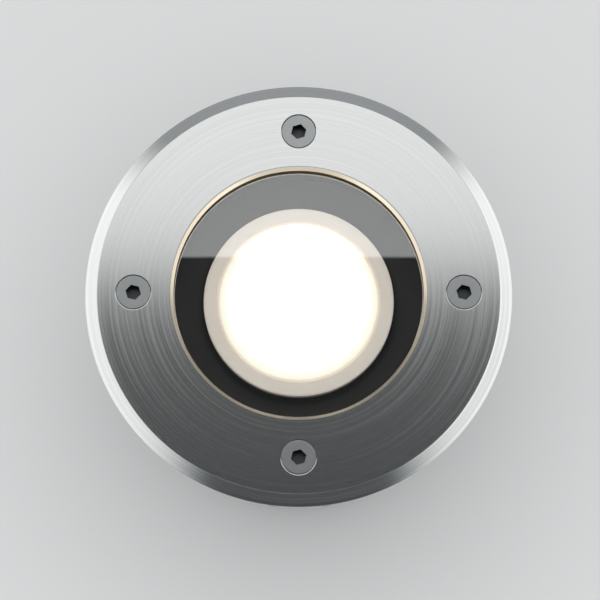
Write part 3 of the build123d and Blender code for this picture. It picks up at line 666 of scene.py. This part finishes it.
def step_cap(steps, axis_at=(0.0, 0.0)):
    """Extrudes the selected cap through (radius, height) steps, from the first, where it is now."""
    for (radius, height), (next_radius, next_height) in zip(steps, steps[1:]):
        move = (0.0, 0.0, next_height - height)
        bpy.ops.mesh.extrude_region_move(TRANSFORM_OT_translate={"value": move})
        if next_radius != radius:
            share = next_radius / radius
            bpy.ops.transform.resize(value=(share, share, 1.0),
                                     center_override=(*axis_at, next_height))


def turn_piece(name, drum, upper, lower, sides, pierced=True):
    """A turned piece: a drum (radius, low, high) whose two caps are stepped inwards.

    Pierced, the caps meet in a bore.
    """
    radius, low, high = drum
    piece = add_drum(name, radius, low, high, sides)
    bpy.ops.object.mode_set(mode="EDIT")
    for steps, start, upward in ((upper, high, True), (lower, low, False)):
        pick_faces(piece, cap_at(start, upward))
        step_cap([(radius, start)] + steps)
        if pierced:
            bpy.ops.mesh.delete(type="ONLY_FACE")
    bpy.ops.mesh.select_all(action="SELECT")
    bpy.ops.mesh.remove_doubles(threshold=WELD)
    bpy.ops.mesh.normals_make_consistent(inside=False)
    bpy.ops.object.mode_set(mode="OBJECT")
    return piece


def apply_modifier(piece, name, kind, **settings):
    """Adds one modifier and applies it."""
    select_only(piece)
    modifier = piece.modifiers.new(name, kind)
    for key, value in settings.items():
        setattr(modifier, key, value)
    bpy.ops.object.modifier_apply(modifier=modifier.name)


def cut_away(piece, cutter):
    """Takes the cutter's shape out of the piece."""
    apply_modifier(piece, "cut", "BOOLEAN", operation="DIFFERENCE", solver="EXACT", object=cutter)
    bpy.data.objects.remove(cutter)


def break_edges(piece, width, segments=2, smooth=radians(40)):
    """Rounds the sharp edges, and keeps the flat faces flat in the light."""
    apply_modifier(piece, "edges", "BEVEL", width=width, segments=segments,
                   limit_method="ANGLE", angle_limit=radians(30))
    bpy.ops.object.shade_smooth_by_angle(angle=smooth)
    apply_modifier(piece, "normals", "WEIGHTED_NORMAL", weight=50, keep_sharp=True)


def join_pieces(main, others):
    """Joins other meshes into the main one."""
    select_only(main)
    for other in others:
        other.select_set(True)
    bpy.ops.object.join()


def turned_copy(piece, name, turn):
    """A copy with its own mesh, turned about the light's axis."""
    twin = piece.copy()
    twin.data = piece.data.copy()
    twin.name = twin.data.name = name
    bpy.context.scene.collection.objects.link(twin)
    twin.data.transform(Matrix.Rotation(turn, 4, "Z"))
    return twin


def hide_from_mirrors(thing):
    """Keeps a piece or lamp out of what glass and metal mirror or show through them."""
    thing.visible_glossy = False
    thing.visible_transmission = False


def place_piece(piece, body, nodes, slot, finishes):
    """Gives a finished piece its finish and body, in place of the solids that it stands for."""
    piece.data.materials.clear()
    piece.data.materials.append(finishes[slot])
    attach(piece, body)
    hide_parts(*nodes)


def finishes_made():
    """The finishes, which the first operator has made."""
    names = bpy.context.scene["well_light_finishes"]
    return {slot: bpy.data.materials[name] for slot, name in names.items()}


# ---- Operators ----


class WELLLIGHT_OT_finishes(bpy.types.Operator):
    """Make the finishes and put them on the solids"""

    bl_idname = "well_light.finishes"
    bl_label = "Finishes"

    def execute(self, context):
        finishes = make_finishes(context.scene)
        names = {slot: material.name for slot, material in finishes.items()}
        context.scene["well_light_finishes"] = names
        for row in frame["record"]["subparts"]:
            solid = frame["nodes"][row["node"]]
            for slot in solid.material_slots:
                slot.material = finishes[row["material_slot"]]
        return {"FINISHED"}


class WELLLIGHT_OT_cover_ring(bpy.types.Operator):
    """Make the turned cover ring with its chamfer, collar and countersinks"""

    bl_idname = "well_light.cover_ring"
    bl_label = "Cover ring"

    def execute(self, context):
        ring = context.scene.well_light_ring
        screw = context.scene.well_light_screw
        top = RING_HIGH.z
        collar_z = RING_LOW.z
        under = GROUND_Z + ring.relief + ring.clear
        bore = ring.aperture_radius
        shoulder = ring.outer_radius - ring.chamfer_width
        piece = turn_piece(
            "cover_ring",
            (ring.outer_radius, GROUND_Z, top - ring.chamfer_depth),
            [(shoulder, top), (shoulder - ring.groove / 2, top - ring.groove / 4),
             (shoulder - ring.groove, top), (bore + ring.aperture_bevel, top),
             (bore, top - ring.aperture_bevel), (bore, collar_z)],
            [(ring.relief_radius, GROUND_Z), (ring.relief_radius, under),
             (ring.collar_radius, under), (ring.collar_radius, collar_z), (bore, collar_z)],
            ring.sides,
        )
        for i in range(len(SCREW_PLACES)):
            cut_away(piece, countersink(ring, screw, i * pi / 2, top, collar_z))
        # Less than the flare's slope, so that its shading doesn't run into the flat.
        break_edges(piece, ring.edge, smooth=radians(12))
        hide_from_mirrors(piece)
        place_piece(piece, "cover", ["bezel_ring"], "brushed_stainless", finishes_made())
        return {"FINISHED"}


def countersink(ring, screw, turn, top, low):
    """A cutter for one screw's countersink and clearance hole."""
    sink = screw.head_radius + ring.sink_gap
    shank = screw.shank_radius + ring.sink_gap
    edge_z = top - screw.head_edge
    at = (screw.circle * cos(turn), screw.circle * sin(turn))
    over = 2 * MM  # how far the cutter stands out of the ring at both ends
    flare_slope = radians(15)
    fall = ring.sink_flare * tan(flare_slope)
    mouth = sink + 2 * ring.sink_flare
    cutter = add_drum("countersink", sink, edge_z, top - fall, SCREW_SIDES, at)
    bpy.ops.object.mode_set(mode="EDIT")
    pick_faces(cutter, cap_at(edge_z, False))
    step_cap([(sink, edge_z), (shank, edge_z - (sink - shank)), (shank, low - over)], at)
    pick_faces(cutter, cap_at(top - fall, True))
    step_cap([(sink, top - fall), (mouth, top + fall), (mouth, top + over)], at)
    bpy.ops.object.mode_set(mode="OBJECT")
    return cutter


class WELLLIGHT_OT_cover_screws(bpy.types.Operator):
    """Make the countersunk hex-socket screws with their threads"""

    bl_idname = "well_light.cover_screws"
    bl_label = "Cover screws"

    def execute(self, context):
        screw = context.scene.well_light_screw
        first = make_screw(screw)
        pieces = [first] + [turned_copy(first, "screw_" + place, i * pi / 2)
                            for i, place in enumerate(SCREW_PLACES) if i]
        first.name = first.data.name = "screw_" + SCREW_PLACES[0]
        finishes = finishes_made()
        for piece, place in zip(pieces, SCREW_PLACES):
            body, solid = "screw_" + place, "cover_screw_" + place
            place_piece(piece, body, [solid], "screw_stainless", finishes)
        return {"FINISHED"}


def make_screw(screw):
    """One screw at the right-hand hole."""
    top, tip = SCREW_HIGH.z, SCREW_LOW.z
    cone_z = top - screw.head_edge
    core = screw.shank_radius - screw.thread_depth
    neck_z = cone_z - (screw.head_radius - core)
    crown = 0.05 * MM
    shank_end = tip + core / 2
    piece = turn_piece(
        "cover_screw",
        (screw.head_radius, cone_z, top - crown),
        [(screw.head_radius - crown, top), (screw.head_radius - 3 * crown, top)],
        [(core, neck_z), (core, shank_end), (core / 2, tip)],
        SCREW_SIDES,
        pierced=False,
    )
    corner_radius = screw.key / (2 * cos(pi / 6))
    socket = add_drum("socket", corner_radius, top - screw.socket_depth, top + MM, 6,
                      turn=screw.key_turn - pi / 6)
    cut_away(piece, socket)
    break_edges(piece, 0.06 * MM)
    join_pieces(piece, [make_thread(screw, neck_z, shank_end)])
    piece.data.transform(Matrix.Translation((screw.circle, 0.0, 0.0)))
    return piece


def make_thread(screw, high, low):
    """The thread's ridge, swept in a helix round the shank from a triangle."""
    core = screw.shank_radius - screw.thread_depth
    buried = 0.1 * MM
    half = 0.42 * screw.pitch
    turns = int((high - low) / screw.pitch) - 1
    bpy.ops.object.select_all(action="DESELECT")
    bpy.ops.mesh.primitive_circle_add(vertices=3, radius=half, fill_type="NOTHING")
    ridge = bpy.context.object
    ridge.name = "thread"
    root = core - buried
    corners = [(screw.shank_radius, low + half), (root, low), (root, low + 2 * half)]
    for vertex, (radius, height) in zip(ridge.data.vertices, corners):
        vertex.co = (radius, 0.0, height)
    apply_modifier(ridge, "helix", "SCREW", axis="Z", angle=2 * pi, screw_offset=screw.pitch,
                   iterations=turns, steps=THREAD_STEPS, render_steps=THREAD_STEPS,
                   use_merge_vertices=False)
    bpy.ops.object.mode_set(mode="EDIT")
    bpy.ops.mesh.select_all(action="SELECT")
    bpy.ops.mesh.remove_doubles(threshold=1e-7)
    bpy.ops.mesh.fill_holes(sides=3)
    bpy.ops.mesh.select_all(action="SELECT")
    bpy.ops.mesh.normals_make_consistent(inside=False)
    bpy.ops.object.mode_set(mode="OBJECT")
    bpy.ops.object.shade_smooth_by_angle(angle=radians(30))
    return ridge


class WELLLIGHT_OT_front_glass(bpy.types.Operator):
    """Make the front glass with its ground edge"""

    bl_idname = "well_light.front_glass"
    bl_label = "Front glass"

    def execute(self, context):
        glass = context.scene.well_light_glass
        radius = GLASS_HIGH.x
        edge = glass.ground_edge
        piece = turn_piece(
            "front_glass_pane",
            (radius, GLASS_LOW.z + edge, GLASS_HIGH.z - edge),
            [(radius - edge, GLASS_HIGH.z)],
            [(radius - edge, GLASS_LOW.z)],
            GLASS_SIDES,
            pierced=False,
        )
        break_edges(piece, 0.15 * MM)
        place_piece(piece, "glass_unit", ["front_glass"], "clear_glass", finishes_made())
        return {"FINISHED"}


class WELLLIGHT_OT_glass_seal(bpy.types.Operator):
    """Make the U-section seal round the glass"""

    bl_idname = "well_light.glass_seal"
    bl_label = "Glass seal"

    def execute(self, context):
        glass = context.scene.well_light_glass
        radius = SEAL_HIGH.x
        web = radius - glass.web
        foot = web - glass.foot
        piece = turn_piece(
            "glass_seal",
            (radius, SEAL_LOW.z, SEAL_HIGH.z),
            [(glass.lip_radius, SEAL_HIGH.z), (glass.lip_radius, GLASS_HIGH.z),
             (web, GLASS_HIGH.z), (web, GLASS_LOW.z)],
            [(foot, SEAL_LOW.z), (foot, GLASS_LOW.z), (web, GLASS_LOW.z)],
            GLASS_SIDES,
        )
        break_edges(piece, glass.seal_edge, segments=3)
        hide_from_mirrors(piece)
        place_piece(piece, "glass_unit", ["glass_gasket"], "clear_silicone", finishes_made())
        return {"FINISHED"}


class WELLLIGHT_OT_studio(bpy.types.Operator):
    """Make the floor, the studio light and the camera"""

    bl_idname = "well_light.studio"
    bl_label = "Studio"

    def execute(self, context):
        studio = context.scene.well_light_studio
        make_floor(studio)
        make_world(context.scene)
        make_fill(studio)
        make_camera(context.scene, studio)
        context.scene.view_settings.view_transform = "Standard"
        return {"FINISHED"}


def make_floor(studio):
    """Pale floor at the foot of the object."""
    bpy.ops.object.select_all(action="DESELECT")
    bpy.ops.mesh.primitive_plane_add(size=studio.floor_size)
    floor = bpy.context.object
    floor.name = "studio_floor"
    material, nodes = new_material("pale_floor")
    cloud = nodes.noise(3, 3.0)
    grain = nodes.noise(420, 3.0)
    nodes.finish(nodes.surface(
        Base_Color=nodes.mix(shaded(studio.floor, 0.985), shaded(studio.floor, 1.015), cloud),
        Roughness=0.85 + (grain - 0.5) * 0.1,
        Normal=nodes.bump(grain, 2.0e-5),
    ))
    floor.data.materials.append(material)


# The mirrored studio. A direction is given by its height, 1 at the zenith and 0 at the horizon, or
# by its slope from an axis, where 1 is 45 degrees. A pair is where a fade starts and ends.
OVERHEAD_LIGHT = 1.25
OVERHEAD_EDGE, OVERHEAD_FAR = 0.198, 1.1  # slopes from the zenith to +Y of the panel's two edges
OVERHEAD_BLUR = 0.002
OVERHEAD_ENDS = (1.35, 1.15)
OVERHEAD_RISE = (0.2, 0.3)
SIDE_LIGHT = 1.2
SIDE_NEAR, SIDE_FAR = (-3.6, -0.35), (1.55, 0.7)  # slopes from the X axis towards -Y and +Y
SIDE_FOOT, SIDE_TOP = (0.15, 0.3), (1.3, 0.6)
LOW_LIGHT = 1.12  # low behind the camera
LOW_TOP = (0.32, 0.2)
LOW_BACK = (0.6, 0.0)
ZENITH_LIGHT, HORIZON_LIGHT = 0.042, 0.49
DIM_RISE = (0.12, 0.62)
ROOM_LIGHT = 0.8  # even, for all that isn't mirrored
COOL_TINT, PLAIN_TINT = (0.90, 0.995, 1.06), (0.985, 0.995, 1.0)
TINT_LIGHT = (0.15, 0.7)  # the dim parts are cool and the bright parts plain


def make_world(scene):
    """Mirrors show a panel overhead and one at each side, dim between. The rest is lit evenly."""
    world = bpy.data.worlds.new("soft_studio")
    scene.world = world
    world.use_nodes = True
    nodes = Nodes(world.node_tree)
    way = nodes.node("TexCoord", output="Generated")
    x, y, z = [nodes.node("SeparateXYZ", None, {0: way}, axis) for axis in "XYZ"]
    least = 0.001
    up = z.greatest(least)
    beside = abs(x).greatest(least)
    overhead = (y / up).within(OVERHEAD_EDGE, OVERHEAD_FAR, OVERHEAD_BLUR)
    overhead = overhead * abs(x / up).ease(*OVERHEAD_ENDS) * z.ease(*OVERHEAD_RISE)
    along, rise = y / beside, up / beside
    sides = along.ease(*SIDE_NEAR) * along.ease(*SIDE_FAR)
    sides = sides * rise.ease(*SIDE_FOOT) * rise.ease(*SIDE_TOP)
    low = z.ease(*LOW_TOP) * y.ease(*LOW_BACK)
    dim = HORIZON_LIGHT + (ZENITH_LIGHT - HORIZON_LIGHT) * z.ease(*DIM_RISE)
    lit = dim + overhead * (OVERHEAD_LIGHT - ZENITH_LIGHT) + sides * (SIDE_LIGHT - ZENITH_LIGHT)
    lit = lit.greatest(low * LOW_LIGHT)
    mirrored = nodes.node("LightPath", output="Is Glossy Ray")
    strength = ROOM_LIGHT + mirrored * (lit - ROOM_LIGHT)
    tint = nodes.mix(COOL_TINT, PLAIN_TINT, strength.ease(*TINT_LIGHT))
    background = nodes.node("Background", None, {"Color": tint, "Strength": strength})
    nodes.finish(background, "OutputWorld")


def make_fill(studio):
    """Soft round lamp overhead. Metal and glass don't mirror it."""
    lamp = bpy.data.lights.new("fill_lamp", "AREA")
    lamp.shape = "DISK"
    lamp.size = 2 * studio.fill_radius
    lamp.energy = studio.fill_power
    fill = bpy.data.objects.new("fill_lamp", lamp)
    fill.location = (0.0, 0.0, studio.fill_height)
    hide_from_mirrors(fill)
    fill.visible_camera = False
    bpy.context.scene.collection.objects.link(fill)


def make_camera(scene, studio):
    """Camera at the photograph's place."""
    lens = bpy.data.cameras.new("studio_camera")
    lens.sensor_width = 36.0
    lens.lens = studio.camera_focal
    lens.clip_start = 0.01
    lens.clip_end = 100.0
    camera = bpy.data.objects.new("studio_camera", lens)
    aim = Vector((studio.aim_x, studio.aim_y, RING_HIGH.z))
    away = Vector((0.0, -sin(studio.camera_tilt), cos(studio.camera_tilt)))
    camera.location = aim + away * studio.camera_distance
    camera.rotation_euler = (-away).to_track_quat("-Z", "Y").to_euler()
    scene.collection.objects.link(camera)
    scene.camera = camera


class WELLLIGHT_PT_panel(bpy.types.Panel):
    """The well light's pieces in the sidebar"""

    bl_idname = "WELLLIGHT_PT_panel"
    bl_label = "Well light"
    bl_space_type = "VIEW_3D"
    bl_region_type = "UI"
    bl_category = "Well light"

    def draw(self, context):
        for operator in OPERATORS:
            self.layout.operator(operator.bl_idname)
        for name, group in GROUPS.items():
            settings = getattr(context.scene, name)
            for key in group.__annotations__:
                self.layout.prop(settings, key)


OPERATORS = (
    WELLLIGHT_OT_finishes,
    WELLLIGHT_OT_cover_ring,
    WELLLIGHT_OT_cover_screws,
    WELLLIGHT_OT_front_glass,
    WELLLIGHT_OT_glass_seal,
    WELLLIGHT_OT_studio,
)


def register():
    """Registers the settings, the operators and the panel."""
    for name, group in GROUPS.items():
        bpy.utils.register_class(group)
        setattr(bpy.types.Scene, name, PointerProperty(type=group))
    for kind in (*OPERATORS, WELLLIGHT_PT_panel):
        bpy.utils.register_class(kind)


def unregister():
    """Takes them back out."""
    for kind in (WELLLIGHT_PT_panel, *reversed(OPERATORS)):
        bpy.utils.unregister_class(kind)
    for name, group in GROUPS.items():
        delattr(bpy.types.Scene, name)
        bpy.utils.unregister_class(group)


def main():
    """Makes the whole scene."""
    register()
    bpy.ops.well_light.finishes()
    bpy.ops.well_light.cover_ring()
    bpy.ops.well_light.cover_screws()
    bpy.ops.well_light.front_glass()
    bpy.ops.well_light.glass_seal()
    bpy.ops.well_light.studio()
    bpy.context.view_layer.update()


if __name__ == "__main__":
    main()
